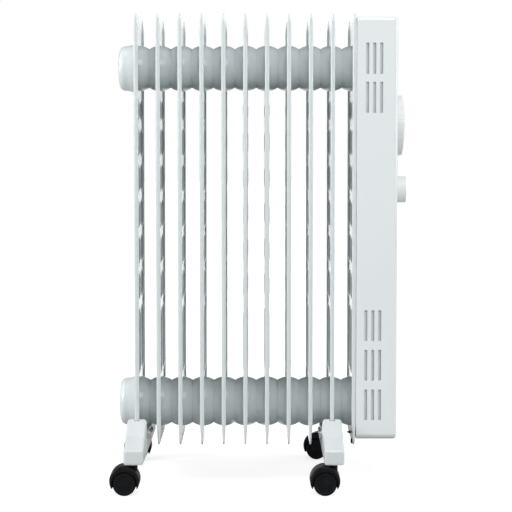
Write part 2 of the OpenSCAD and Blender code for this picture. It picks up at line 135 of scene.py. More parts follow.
# Studio: places in metres, powers in watts. A corner is a pair of signs for x and y.
# The sweep is a range of a direction's Y and the fill of its Z, each with its two levels.
FLOOR_HALF = 14.0
FLOOR_DROP = 0.2 * MM
FLOOR_GLOW_REACH = (0.3, 1.8)
FLOOR_GLOW = (0.76, 0.98)
FLOOR_SHEEN = (0.08, 1.3)
SWEEP_SPREAD = (0.955, 0.992)
SWEEP_LEVELS = (0.05, 1.3)
FILL_SPREAD = (-0.3, 0.9)
FILL_LEVELS = (0.14, 0.36)
AIM = (0, 0, 0.33)
CORNER_AT, CORNER_SIZE = (2.7, 1.05, 1.3), (1.0, 2.0)
CORNER_POWERS = {(-1, -1): 62, (1, -1): 42, (-1, 1): 16, (1, 1): 16}
TOP_AT, TOP_SIZE, TOP_POWER = (0, -0.3, 2.8), (2.0, 1.6), 12
KEY_AT, KEY_SIZE, KEY_POWER = (0.25, -1.7, 1.55), (0.9, 1.0), 12.5
EYE = (-0.0057, -1.945, 0.465)
EYE_PITCH = 2.8
LENS_LENGTH = 99.4
LENS_SHIFT = (-0.0018, -0.0906)


# ---------------------------------------------------------------- mesh helpers

def placed(name, data):
    """A new object in the scene for a mesh, a curve, a light or a camera."""
    obj = bpy.data.objects.new(name, data)
    bpy.context.scene.collection.objects.link(obj)
    return obj


def mesh_of(obj):
    """An object's mesh, to be shared by copies; the object itself is removed."""
    mesh = obj.data
    bpy.data.objects.remove(obj)
    return mesh


def centre(node):
    """The middle of a CAD node's box."""
    low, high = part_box(node)
    return (low + high) / 2


def radius_of(node):
    """Half the height of a CAD node's box."""
    low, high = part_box(node)
    return (high.z - low.z) / 2


def to_object(name, verts, faces, material, sharp=35):
    """A mesh object with outward normals, smooth except at edges sharper than an angle."""
    mesh = bpy.data.meshes.new(name)
    mesh.from_pydata([tuple(v) for v in verts], [], [tuple(f) for f in faces])
    work = bmesh.new()
    work.from_mesh(mesh)
    bmesh.ops.recalc_face_normals(work, faces=work.faces)
    work.to_mesh(mesh)
    work.free()
    mesh.shade_smooth()
    mesh.set_sharp_from_angle(angle=math.radians(sharp))
    mesh.materials.append(material)
    return placed(name, mesh)


def merged(*parts):
    """Several (verts, faces) pairs as one."""
    verts, faces = [], []
    for v, f in parts:
        offset = len(verts)
        verts.extend(np.asarray(v, float).tolist())
        faces.extend([tuple(i + offset for i in face) for face in f])
    return verts, faces


def moved(part, offset):
    """A (verts, faces) pair shifted by an offset."""
    return np.asarray(part[0], float) + np.array(offset, float), part[1]


def about(part, axis):
    """Turns a part made about X so that its axis lies along axis."""
    order = {"y": (2, 0, 1), "z": (1, 2, 0), "-x": (0, 1, 2)}[axis]
    verts = np.asarray(part[0], float)[:, order]
    if axis == "-x":
        verts = verts * (-1, -1, 1)
    return verts, part[1]


def arc(cx, cr, radius, start, end, steps):
    """Points (x, r) on an arc; angles in degrees, from the x axis."""
    return [
        (cx + radius * math.cos(math.radians(a)), cr + radius * math.sin(math.radians(a)))
        for a in np.linspace(start, end, steps + 1)
    ]


def lathe(profile, steps, loop=False):
    """Surface of revolution about X from (x, radius) points; a loop closes on itself."""
    verts, rings = [], []
    for x, r in profile:
        if r < 1e-7:
            rings.append([len(verts)] * steps)
            verts.append((x, 0, 0))
        else:
            first = len(verts)
            rings.append(list(range(first, first + steps)))
            verts.extend(
                (x, r * math.cos(t), r * math.sin(t))
                for t in np.linspace(0, 2 * math.pi, steps, endpoint=False)
            )
    pairs = list(zip(rings, rings[1:]))
    if loop:
        pairs.append((rings[-1], rings[0]))
    faces = []
    for a, b in pairs:
        for j in range(steps):
            k = (j + 1) % steps
            face = list(dict.fromkeys((a[j], a[k], b[k], b[j])))
            if len(face) > 2:
                faces.append(face)
    return verts, faces


def loft(loops, cap_first=True, cap_last=True):
    """Skin over loops with the same number of points; the ends may be closed."""
    n = len(loops[0])
    verts = [p for loop in loops for p in loop]
    faces = []
    for i in range(len(loops) - 1):
        for j in range(n):
            k = (j + 1) % n
            faces.append((i * n + j, i * n + k, (i + 1) * n + k, (i + 1) * n + j))
    if cap_first:
        faces.append(tuple(range(n))[::-1])
    if cap_last:
        faces.append(tuple(range((len(loops) - 1) * n, len(loops) * n)))
    return verts, faces


def rounded_loop(half_y, half_z, radius, low_radius=None, steps=6):
    """Points (y, z) round a rectangle with round corners, about its middle."""
    points = []
    for sy, sz, start in ((1, 1, 0), (-1, 1, 90), (-1, -1, 180), (1, -1, 270)):
        r = radius if sz > 0 or low_radius is None else low_radius
        points += arc(sy * (half_y - r), sz * (half_z - r), r, start, start + 90, steps)
    return points


def rectangle(x0, x1, z0, z1):
    """Outline of a rectangle, for a prism."""
    return [(x0, z0), (x1, z0), (x1, z1), (x0, z1)]


def prism(outline, low, high):
    """A solid from an outline in (x, z), from y = low to y = high."""
    return loft([[(x, y, z) for x, z in outline] for y in (low, high)])


def combine(obj, part, operation):
    """Joins a solid to a mesh or takes it away, and applies the result."""
    tool = to_object("cutter", *part, obj.data.materials[0])
    modifier = obj.modifiers.new("combine", "BOOLEAN")
    modifier.operation = operation
    modifier.solver = "EXACT"
    modifier.object = tool
    apply_modifiers(obj)
    bpy.data.objects.remove(tool)


def cut(obj, *cutters):
    """Takes solids away from a mesh, one after another."""
    for part in cutters:
        combine(obj, part, "DIFFERENCE")


def apply_modifiers(obj):
    """Replaces an object's mesh with what its modifiers make of it."""
    bpy.context.view_layer.update()
    evaluated = obj.evaluated_get(bpy.context.evaluated_depsgraph_get())
    mesh = bpy.data.meshes.new_from_object(evaluated)
    obj.modifiers.clear()
    obj.data = mesh


def finish_edges(obj, width, sharp):
    """Small bevel on the sharp edges, with flat faces kept flat."""
    if width:
        bevel = obj.modifiers.new("edges", "BEVEL")
        bevel.width = width
        bevel.segments = 2
        bevel.limit_method = "ANGLE"
        bevel.angle_limit = math.radians(sharp)
        bevel.use_clamp_overlap = True
        apply_modifiers(obj)
    obj.data.shade_smooth()
    obj.data.set_sharp_from_angle(angle=math.radians(sharp))
    weigh(obj)


def weigh(obj):
    """Normals that follow the large faces, so that flat sheet looks flat."""
    normals = obj.modifiers.new("normals", "WEIGHTED_NORMAL")
    normals.keep_sharp = True
    normals.weight = 100


def rides(obj, body, slot, *nodes):
    """Gives a piece its body and hides the CAD nodes that it stands for, if any; slot is not used.
    """
    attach(obj, body)
    if nodes:
        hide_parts(*nodes)


def smooth_step(t):
    """Eases from 0 to 1 over the same range of t."""
    t = np.clip(t, 0, 1)
    return t * t * (3 - 2 * t)


# ---------------------------------------------------------------- materials

NOISE_MIDDLE = (0.3, 0.7)


def shader(name, colour, roughness, metallic=0.0, specular=0.5):
    """A new material with its Principled shader; returns (material, tree, shader)."""
    material = bpy.data.materials.new(name)
    material.use_nodes = True
    tree = material.node_tree
    principled = tree.nodes["Principled BSDF"]
    principled.inputs["Base Color"].default_value = (*colour, 1)
    principled.inputs["Roughness"].default_value = roughness
    principled.inputs["Metallic"].default_value = metallic
    principled.inputs["Specular IOR Level"].default_value = specular
    return material, tree, principled


def noise(tree, scale, detail):
    """A noise texture in object space, with features about 1/scale metres across."""
    place = tree.nodes.new("ShaderNodeTexCoord")
    texture = tree.nodes.new("ShaderNodeTexNoise")
    texture.inputs["Scale"].default_value = scale
    texture.inputs["Detail"].default_value = detail
    tree.links.new(place.outputs["Object"], texture.inputs["Vector"])
    return texture.outputs["Fac"]


def ranged(tree, value, start, end, low, high, interpolation="SMOOTHSTEP"):
    """Maps start to end onto low to high, easing in and out unless told otherwise."""
    node = tree.nodes.new("ShaderNodeMapRange")
    node.interpolation_type = interpolation
    for name, number in (
        ("From Min", start), ("From Max", end), ("To Min", low), ("To Max", high)
    ):
        node.inputs[name].default_value = number
    tree.links.new(value, node.inputs["Value"])
    return node.outputs["Result"]


def spread(tree, value, low, high):
    """Maps the middle of a noise's range onto low to high."""
    return ranged(tree, value, *NOISE_MIDDLE, low, high, "LINEAR")


def maths(tree, operation, *inputs):
    """A Math node fed by sockets."""
    node = tree.nodes.new("ShaderNodeMath")
    node.operation = operation
    for socket, value in zip(node.inputs, inputs):
        tree.links.new(value, socket)
    return node.outputs["Value"]


def picked(tree, flag, value, otherwise):
    """A float Mix node that gives value, a socket or a number, where flag is 1."""
    node = tree.nodes.new("ShaderNodeMix")
    node.data_type = "FLOAT"
    factor, first, second = node.inputs[0], node.inputs[2], node.inputs[3]
    tree.links.new(flag, factor)
    tree.links.new(otherwise, first)
    if isinstance(value, bpy.types.NodeSocket):
        tree.links.new(value, second)
    else:
        second.default_value = value
    return node.outputs[0]


def tint(tree, value, dark, light):
    """Maps the middle of a noise's range onto two colours."""
    ramp = tree.nodes.new("ShaderNodeValToRGB")
    for element, place, colour in zip(ramp.color_ramp.elements, NOISE_MIDDLE, (dark, light)):
        element.position = place
        element.color = (*colour, 1)
    tree.links.new(value, ramp.inputs["Fac"])
    return ramp.outputs["Color"]


def bump(tree, principled, heights):
    """Chains bumps from (height, distance in metres, strength) onto the shader."""
    before = None
    for height, distance, strength in heights:
        node = tree.nodes.new("ShaderNodeBump")
        node.inputs["Distance"].default_value = distance
        node.inputs["Strength"].default_value = strength
        tree.links.new(height, node.inputs["Height"])
        if before is not None:
            tree.links.new(before, node.inputs["Normal"])
        before = node.outputs["Normal"]
    tree.links.new(before, principled.inputs["Normal"])


def painted(name, dark, light, gloss):
    """Baked powder coat: orange peel, soft changes of gloss and a faint change of tone."""
    material, tree, principled = shader(name, light, 0.3)
    colour = tint(tree, noise(tree, 6, 2), dark, light)
    tree.links.new(colour, principled.inputs["Base Color"])
    rough = spread(tree, noise(tree, 30, 2), *gloss)
    tree.links.new(rough, principled.inputs["Roughness"])
    bump(tree, principled, [
        (noise(tree, 300, 2), 0.12 * MM, 0.05),
        (noise(tree, 1800, 1), 0.01 * MM, 0.1),
    ])
    return material


def moulded(name, dark, light, gloss, grain=0.4, specular=0.5):
    """Moulded plastic with a fine eroded grain."""
    material, tree, principled = shader(name, light, 0.4, specular=specular)
    colour = tint(tree, noise(tree, 60, 4), dark, light)
    tree.links.new(colour, principled.inputs["Base Color"])
    rough = spread(tree, noise(tree, 240, 4), *gloss)
    tree.links.new(rough, principled.inputs["Roughness"])
    bump(tree, principled, [
        (noise(tree, 2200, 2), 0.05 * MM, grain),
        (noise(tree, 70, 2), 0.15 * MM, 0.12),
    ])
    return material


def metal(name, dark, light, gloss):
    """Plated or rolled metal, with its tone, gloss and surface a little uneven."""
    material, tree, principled = shader(name, light, 0.35, metallic=1.0)
    colour = tint(tree, noise(tree, 130, 5), dark, light)
    tree.links.new(colour, principled.inputs["Base Color"])
    rough = spread(tree, noise(tree, 380, 5), *gloss)
    tree.links.new(rough, principled.inputs["Roughness"])
    bump(tree, principled, [(noise(tree, 900, 4), 0.03 * MM, 0.3)])
    return material


def lens(name, colour):
    """Clear coloured lens, prismatic inside."""
    material, tree, principled = shader(name, colour, 0.12)
    principled.inputs["Transmission Weight"].default_value = 0.55
    principled.inputs["IOR"].default_value = 1.49
    shade = tint(tree, noise(tree, 500, 2), tuple(c * 0.7 for c in colour), colour)
    tree.links.new(shade, principled.inputs["Base Color"])
    bump(tree, principled, [(noise(tree, 900, 1), 0.08 * MM, 0.35)])
    return material


def floor_paint():
    """Pale floor that glows white to the camera, and mirrors the sweep at its far end."""
    material, tree, principled = shader("floor_paint", (0.4, 0.4, 0.4), 0.75, specular=0.2)
    principled.inputs["Emission Color"].default_value = (1, 1, 1, 1)
    place = tree.nodes.new("ShaderNodeTexCoord")
    path = tree.nodes.new("ShaderNodeLightPath")
    reach = tree.nodes.new("ShaderNodeVectorMath")
    reach.operation = "LENGTH"
    tree.links.new(place.outputs["Object"], reach.inputs[0])
    glow = ranged(tree, reach.outputs["Value"], *FLOOR_GLOW_REACH, *FLOOR_GLOW)
    unit = tree.nodes.new("ShaderNodeVectorMath")
    unit.operation = "NORMALIZE"
    split = tree.nodes.new("ShaderNodeSeparateXYZ")
    tree.links.new(place.outputs["Object"], unit.inputs[0])
    tree.links.new(unit.outputs["Vector"], split.inputs["Vector"])
    mirrored = ranged(tree, split.outputs["Y"], *SWEEP_SPREAD, *FLOOR_SHEEN)
    sheen = maths(tree, "MULTIPLY", mirrored, path.outputs["Is Glossy Ray"])
    strength = maths(tree, "MULTIPLY_ADD", glow, path.outputs["Is Camera Ray"], sheen)
    tree.links.new(strength, principled.inputs["Emission Strength"])
    colour = tint(tree, noise(tree, 3, 3), (0.39, 0.39, 0.39), (0.41, 0.41, 0.41))
    tree.links.new(colour, principled.inputs["Base Color"])
    bump(tree, principled, [(noise(tree, 300, 3), 0.05 * MM, 0.2)])
    return material


MATERIALS = {
    "fin_paint": painted("fin_paint", (0.675, 0.73, 0.74), (0.70, 0.755, 0.765), (0.11, 0.17)),
    "box_paint": painted("box_paint", (0.785, 0.83, 0.84), (0.80, 0.845, 0.855), (0.15, 0.20)),
    "foot_paint": painted("foot_paint", (0.66, 0.70, 0.71), (0.68, 0.72, 0.73), (0.15, 0.20)),
    "plated_steel": metal("plated_steel", (0.52, 0.53, 0.55), (0.70, 0.71, 0.72), (0.24, 0.46)),
    "brass": metal("brass", (0.62, 0.44, 0.18), (0.80, 0.61, 0.29), (0.22, 0.40)),
    "knob_plastic": moulded(
        "knob_plastic", (0.79, 0.81, 0.81), (0.81, 0.83, 0.83), (0.34, 0.46), 0.25),
    "switch_plastic": moulded(
        "switch_plastic", (0.035, 0.036, 0.038), (0.055, 0.056, 0.06), (0.38, 0.52)),
    "lamp_lens": lens("lamp_lens", (0.85, 0.16, 0.06)),
    "black_fixings": metal(
        "black_fixings", (0.02, 0.02, 0.022), (0.05, 0.05, 0.052), (0.35, 0.55)),
    "lead_sleeve": moulded("lead_sleeve", (0.36, 0.04, 0.03), (0.5, 0.07, 0.05), (0.45, 0.6)),
    "gland_rubber": moulded(
        "gland_rubber", (0.012, 0.012, 0.013), (0.026, 0.026, 0.027), (0.5, 0.68)),
    "caster_nylon": moulded(
        "caster_nylon", (0.003, 0.003, 0.004), (0.007, 0.007, 0.008), (0.34, 0.48), 0.3,
        specular=0.18),
    "wheel_nylon": moulded(
        "wheel_nylon", (0.003, 0.004, 0.005), (0.007, 0.008, 0.010), (0.40, 0.54), 0.3,
        specular=0.15),
}


# ---------------------------------------------------------------- fins

fin_pitch = centre("fin_03").x - centre("fin_02").x
fin_low, fin_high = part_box("fin_05")
top_header_z = centre("end_cap_top").z
low_header_z = centre("end_cap_bottom").z


def fin_x(i):
    """Where a fin stands; the end fins' boxes are lopsided, so it is counted from fin 2."""
    return centre("fin_02").x + (i - 2) * fin_pitch


def fin_half_width(z):
    """Half the depth of a fin at a height, less where its corners are round."""
    into_corner = FIN_CORNER - min(z - fin_low.z, fin_high.z - z)
    if into_corner <= 0:
        return fin_high.y
    return fin_high.y - FIN_CORNER + math.sqrt(max(FIN_CORNER**2 - into_corner**2, 0))


def edge_distance(y, z):
    """How far inside the fin's outline a point is."""
    side = fin_high.y - np.abs(y)
    end = np.minimum(fin_high.z - z, z - fin_low.z)
    out, over = FIN_CORNER - side, FIN_CORNER - end
    corner = FIN_CORNER - np.hypot(out, over)
    inside = np.where((out > 0) & (over > 0), corner, np.minimum(side, end))
    return np.maximum(inside, 0)


def lobe_thickness(y, z):
    """Half thickness of the oil channels: stadium-shaped lobes with pinches between them."""
    spans = [
        (LOBES_TOP_Z - (i + 1) * LOBE_PITCH + LOBE_GAP / 2,
         min(LOBES_TOP_Z - i * LOBE_PITCH - LOBE_GAP / 2, FIRST_LOBE_Z))
        for i in range(LOBE_COUNT)
    ]
    spans.append((LOBES_LOW_Z, LOBES_TOP_Z - LOBE_COUNT * LOBE_PITCH - LOBE_GAP / 2))
    reach = LOBE_RADIUS * (1 - PLATE_HALF / LOBE_HALF_THICK) ** (1 / LOBE_RIDGE)
    across = np.abs(np.abs(y) - CHANNEL_Y)
    height = np.zeros_like(y)
    for low, high in spans:
        past = np.maximum(np.abs(z - (low + high) / 2) - ((high - low) / 2 - reach), 0)
        share = np.hypot(across, past) / LOBE_RADIUS
        height = np.maximum(height, LOBE_HALF_THICK * (1 - share**LOBE_RIDGE))
    return height


def fin_thickness(y, z):
    """Half thickness of a fin: plate, rolled edges and channels."""
    taper = np.minimum((z - fin_low.z) / HEM_TAPER_LOW, (fin_high.z - z) / HEM_TAPER_HIGH)
    hem = PLATE_HALF + (HEM_HALF - PLATE_HALF) * np.clip(taper, 0, 1)
    inner = fin_high.y - HEM_DEPTH
    rolled = smooth_step((np.abs(y) - inner + HEM_STEP / 2) / HEM_STEP)
    sheet = PLATE_HALF + (hem - PLATE_HALF) * rolled
    share = np.clip(edge_distance(y, z) / (RIM_SHARE * sheet), 0, 1)
    sheet = sheet * (1 - (1 - share) ** RIM_POWER) ** (1 / RIM_POWER)
    lobes = lobe_thickness(y, z)
    blend_width = 0.5 * MM
    mix = np.clip(0.5 + (lobes - sheet) / (2 * blend_width), 0, 1)
    return sheet * (1 - mix) + lobes * mix + blend_width * mix * (1 - mix)


def fin_plate():
    """Closed shell of one fin about x = 0, on a grid over its outline."""
    # Columns are close together at the rim and at the step of the hem.
    rim = np.array([0, 0.12, 0.4, 0.9, 1.5, 2.2, 3.2, 5, 6.2, 6.6, 7, 7.4, 7.8, 9]) * MM
    inner = np.linspace(fin_high.y - rim[-1], 0, 27)[1:]
    side = np.concatenate([fin_high.y - rim, inner])
    columns = np.concatenate([-side, side[-2::-1]]) / fin_high.y
    # Rows are close together at the ends, on the corners' arcs and over the lobes.
    edge = np.array([0, 0.1, 0.35, 0.8]) * MM
    low_arc = FIN_CORNER * (1 - np.cos(np.radians(range(6, 90, 6))))
    top_arc = FIN_CORNER * (1 - np.cos(np.radians(range(78, 0, -10))))
    coarse, fine = 6 * MM, LOBE_PITCH / 16
    rows = np.unique(np.round(np.concatenate([
        fin_low.z + edge,
        fin_low.z + low_arc,
        np.arange(fin_low.z + FIN_CORNER, LOBES_LOW_Z, coarse),
        np.arange(LOBES_LOW_Z, LOBES_TOP_Z, fine),
        np.arange(LOBES_TOP_Z, fin_high.z - FIN_CORNER, coarse),
        fin_high.z - top_arc,
        fin_high.z - edge,
    ]), 6))
    half = np.array([fin_half_width(z) for z in rows])
    y = half[:, None] * columns[None, :]
    z = np.repeat(rows[:, None], len(columns), 1)
    thick = fin_thickness(y, z)
    # Two skins that share their points on the rim.
    count_z, count_y = y.shape
    verts, right, left = [], np.zeros(y.shape, int), np.zeros(y.shape, int)
    for i in range(count_z):
        for j in range(count_y):
            right[i, j] = len(verts)
            verts.append((thick[i, j], y[i, j], z[i, j]))
            on_rim = i in (0, count_z - 1) or j in (0, count_y - 1)
            if not on_rim:
                verts.append((-thick[i, j], y[i, j], z[i, j]))
            left[i, j] = len(verts) - 1
            if on_rim:
                verts[-1] = (0.0, y[i, j], z[i, j])
    faces = []
    for i in range(count_z - 1):
        for j in range(count_y - 1):
            for grid in (right, left):
                faces.append((grid[i, j], grid[i, j + 1], grid[i + 1, j + 1], grid[i + 1, j]))
    return verts, faces


def header_dome(z, radius, left, right):
    """The part of a header that belongs to one fin: a bulge that dips to a neck on each side."""
    half = fin_pitch / 2
    bulge = (half**2 + NECK_DROP**2) / (2 * NECK_DROP)
    start = -half if left else -PLATE_HALF
    end = half if right else PLATE_HALF
    weld = 0.03 * MM
    xs = np.linspace(start + weld, end - weld, 29)
    skin = [(x, radius - bulge + math.sqrt(bulge**2 - x**2)) for x in xs]
    return moved(lathe([(xs[0], 0), *skin, (xs[-1], 0)], 112), (0, 0, z))


def build_fins():
    """Eleven fins from three shared meshes: a left end, the middle ones and a right end."""
    plate = fin_plate()
    shapes = {}
    for i in range(1, FIN_COUNT + 1):
        ends = (i > 1, i < FIN_COUNT)
        if ends not in shapes:
            part = merged(
                plate,
                header_dome(top_header_z, TOP_HEADER_R, *ends),
                header_dome(low_header_z, LOW_HEADER_R, *ends),
            )
            shapes[ends] = mesh_of(to_object("fin_shape", *part, MATERIALS["fin_paint"], 50))
        fin = placed(f"fin_panel_{i:02d}", shapes[ends])
        fin.location.x = fin_x(i)
        rides(fin, "radiator", "fin_paint", f"fin_{i:02d}")


def build_cap(name, node):
    """Deep-drawn end cup with a flared foot, a rounded edge and a pressed ring."""
    low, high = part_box(node)
    reach = high.x - low.x
    flare = radius_of(node)
    body = flare - CAP_FLARE
    ring = body - CAP_EDGE - 6 * MM
    foot = 0.6 * MM
    sunk = reach - 0.9 * MM
    profile = [(0, 0), (0, flare - foot)]
    profile += arc(foot, flare - foot, foot, 180, 90, 3)[1:]
    profile += [(CAP_LIP, flare - 0.1 * MM)]
    profile += [
        (CAP_LIP + (CAP_WAIST - CAP_LIP) * t, flare - CAP_FLARE * t ** 0.8)
        for t in np.linspace(0.1, 1, 9)
    ]
    profile += arc(reach - CAP_EDGE, body - CAP_EDGE, CAP_EDGE, 80, 4, 10)
    profile += [(reach, body - CAP_EDGE - 1 * MM), (reach, ring + 2 * MM)]
    profile += [(reach - 0.5 * MM, ring + 1 * MM), (sunk, ring), (sunk, 0)]
    part = about(lathe(profile, 128), "-x")
    cap = to_object(name, *moved(part, (high.x, 0, centre(node).z)), MATERIALS["fin_paint"], 40)
    weigh(cap)
    rides(cap, "radiator", "fin_paint", node)


# ---------------------------------------------------------------- control box

box_low, box_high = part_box("box_cover")


def box_loops(inset):
    """Loops of the cover's skin along X, from its open side to its closed face."""
    radius = BOX_EDGE - inset
    half_y = (box_high.y - box_low.y) / 2 - inset
    half_z = (box_high.z - box_low.z) / 2 - inset
    mid_z = (box_high.z + box_low.z) / 2
    lip = ((0, 0.9), (0.3, 0.3), (1.0, 0))
    stations = [(box_low.x + along * MM, dip * MM) for along, dip in lip]
    for angle in range(0, 91, 15):
        a = math.radians(angle)
        x = box_high.x - inset - radius * (1 - math.sin(a))
        stations.append((x, radius * (1 - math.cos(a))))
    loops = []
    for x, dip in stations:
        upper, lower = max(radius - dip, 0.05 * MM), BOX_LOW_EDGE - inset - dip
        outline = rounded_loop(half_y - dip, half_z - dip, upper, lower)
        loops.append([(x, y, mid_z + z) for y, z in outline])
    return loops


def slot_places():
    """(x, z) of each ventilation slot's middle."""
    places = []
    for first, heights in ((UPPER_SLOTS_X, UPPER_SLOTS_Z), (LOWER_SLOTS_X, LOWER_SLOTS_Z)):
        for z in heights:
            for k in range(SLOTS_PER_ROW):
                places.append((box_low.x + first + k * SLOT_PITCH, z))
    return places


def slot_cutter(x, z, wall):
    """Prism that cuts one slot through the wall at y = wall, with round corners."""
    outline = rounded_loop(SLOT_WIDTH / 2, SLOT_HEIGHT / 2, 0.9 * MM, steps=4)
    side = math.copysign(1, wall)
    ends = sorted((wall - side * 4 * MM, wall + side * 2 * MM))
    return prism([(x + u, z + v) for u, v in outline], *ends)


def louvre(x, z, side):
    """Tongue bent in from a slot's left edge, so that nothing is seen through the slot."""
    wall = side * box_high.y
    edge = x - SLOT_WIDTH / 2
    thick = 0.7 * MM
    bend = [(-0.8, 1.0), (0.0, 1.9), (2.6, 2.4), (3.4, 2.9), (4.4, 3.3), (5.4, 3.6)]
    outer = [(edge + along * MM, wall - side * inward * MM) for along, inward in bend]
    inner = [(px - 0.35 * thick, py - side * thick) for px, py in outer]
    outline = outer + inner[::-1]
    half = SLOT_HEIGHT / 2 + 1.5 * MM
    return loft([[(px, py, z + h) for px, py in outline] for h in (-half, half)])


def build_box():
    """Louvred cover with its cord hole and a notch for the tab, and the louvre tongues."""
    outer, inner = box_loops(0), box_loops(BOX_WALL)
    cover = to_object("control_box_cover", *loft(inner[::-1] + outer), MATERIALS["box_paint"])
    slots = [slot_cutter(x, z, y) for x, z in slot_places() for y in (box_high.y, box_low.y)]
    gland = centre("cord_gland")
    length = 8 * MM
    hole = [(-length, 0), (-length, GLAND_STUB_R), (length, GLAND_STUB_R), (length, 0)]
    notch = rectangle(box_low.x - 1 * MM, box_low.x + TAB_DEPTH,
                      box_low.z - 1 * MM, box_low.z + TAB_HEIGHT)
    cut(
        cover,
        merged(*slots),
        moved(about(lathe(hole, 48), "y"), (gland.x, box_high.y, gland.z)),
        prism(notch, -TAB_HALF, TAB_HALF),
    )
    finish_edges(cover, 0.25 * MM, 40)
    rides(cover, "radiator", "box_paint", "box_cover")
    tongues = [louvre(x, z, side) for x, z in slot_places() for side in (-1, 1)]
    blades = to_object("louvre_blades", *merged(*tongues), MATERIALS["box_paint"], 30)
    rides(blades, "radiator", "box_paint")


def knob_shape(node, scoop, bar_half, flutes, flute_depth, crown):
    """A knob about X on a polar grid: crowned face, two finger scoops and a fluted rim."""
    low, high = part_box(node)
    radius = radius_of(node)
    rim_x = high.x - low.x - crown
    steps = 6 * flutes
    verts, rings = [(0.0, 0.0, 0.0)], []

    def ring(x_at, r_at):
        """Adds a ring of points from functions of the angle, x_at also of the radius."""
        first = len(verts)
        for t in np.linspace(0, 2 * math.pi, steps, endpoint=False):
            r = r_at(t)
            verts.append((x_at(r, t), r * math.sin(t), r * math.cos(t)))
        rings.append(list(range(first, first + steps)))

    def wave(t):
        return flute_depth * (0.5 - 0.5 * math.cos(flutes * t))

    def face(r, t):
        rise = crown * (1 - (r / radius) ** 2)
        across = abs(r * math.sin(t))
        hollow = float(smooth_step((across - bar_half) / (3.5 * MM)))
        hollow *= float(smooth_step((0.84 * radius - r) / (0.16 * radius)))
        return rim_x + rise - scoop * hollow

    # Flat back, a shallow groove at its rim, then the eased back edge.
    for share in np.linspace(0.25, 1, 4):
        ring(lambda r, t: 0.0, lambda t: (radius - 2 * KNOB_BACK_EDGE - wave(t)) * share)
    back_edge = [(KNOB_BACK_EDGE, KNOB_BACK_EDGE)]
    for a in np.radians((60, 30, 0)):
        back_edge.append((KNOB_BACK_EDGE * (1 - math.sin(a)), KNOB_BACK_EDGE * (1 - math.cos(a))))
    for x, inset in back_edge:
        ring(lambda r, t: x, lambda t: radius - wave(t) - inset)
    for x in (0.3 * rim_x, 0.6 * rim_x, rim_x - KNOB_RIM_EDGE):
        ring(lambda r, t: x, lambda t: radius - wave(t))
    # Round front edge, over which the flutes fade, then the face.
    for a in np.radians(np.linspace(15, 90, 6)):
        back = KNOB_RIM_EDGE * (1 - math.sin(a))
        inset = KNOB_RIM_EDGE * (1 - math.cos(a))
        fade = 1 - a / (math.pi / 2)
        ring(lambda r, t: face(radius - KNOB_RIM_EDGE, t) - back,
             lambda t: radius - inset - wave(t) * fade)
    for share in np.linspace(0.96, 0.04, 26):
        ring(face, lambda t: (radius - KNOB_RIM_EDGE) * share)

    faces = [(0, rings[0][j], rings[0][(j + 1) % steps]) for j in range(steps)]
    for a, b in zip(rings, rings[1:]):
        faces += [(a[j], a[(j + 1) % steps], b[(j + 1) % steps], b[j]) for j in range(steps)]
    verts.append((face(0, 0), 0.0, 0.0))
    last = len(verts) - 1
    faces += [(last, rings[-1][(j + 1) % steps], rings[-1][j]) for j in range(steps)]
    return moved((verts, faces), (low.x, 0, centre(node).z))


def marks_on(x, bars):
    """Thin flat bars on the plane at x, from (y, z, length, width, angle in degrees)."""
    parts = []
    for y, z, length, width, angle in bars:
        a = math.radians(angle)
        along = np.array([math.sin(a), math.cos(a)])
        beside = np.array([along[1], -along[0]])
        corners = [
            np.array([y, z]) + s * along * length / 2 + t * beside * width / 2
            for s, t in ((-1, -1), (-1, 1), (1, 1), (1, -1))
        ]
        parts.append(loft([[(x + d, *c) for c in corners] for d in (-0.2 * MM, MARK_LIFT)]))
    return merged(*parts)


def digit(text, x, y, z, height):
    """A numeral on the plane at x that faces +X, as a thin solid."""
    curve = bpy.data.curves.new("digit", "FONT")
    curve.body = text
    curve.size = height
    curve.align_x = "CENTER"
    curve.align_y = "CENTER"
    curve.extrude = MARK_LIFT
    letter = placed("digit", curve)
    bpy.context.view_layer.update()
    evaluated = letter.evaluated_get(bpy.context.evaluated_depsgraph_get())
    mesh = bpy.data.meshes.new_from_object(evaluated)
    work = bmesh.new()
    work.from_mesh(mesh)
    bmesh.ops.remove_doubles(work, verts=work.verts, dist=1e-6)
    work.verts.index_update()
    verts = [(x + v.co.z, y + v.co.x, z + v.co.y) for v in work.verts]
    faces = [tuple(v.index for v in f.verts) for f in work.faces]
    work.free()
    bpy.data.objects.remove(letter)
    return verts, faces


def build_pointer(name, node, body, inner, outer, crown):
    """Dark line on a knob's crown, from the inner to the outer share of its radius."""
    radius = radius_of(node)
    rim_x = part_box(node)[1].x - crown
    loops = [
        [(rim_x + crown * (1 - share**2) + d, side * 0.7 * MM, centre(node).z + share * radius)
         for share, side in ((inner, -1), (outer, -1), (outer, 1), (inner, 1))]
        for d in (-0.5 * MM, 0.08 * MM)
    ]
    pointer = to_object(name, *loft(loops), MATERIALS["switch_plastic"], 30)
    rides(pointer, body, "switch_plastic")


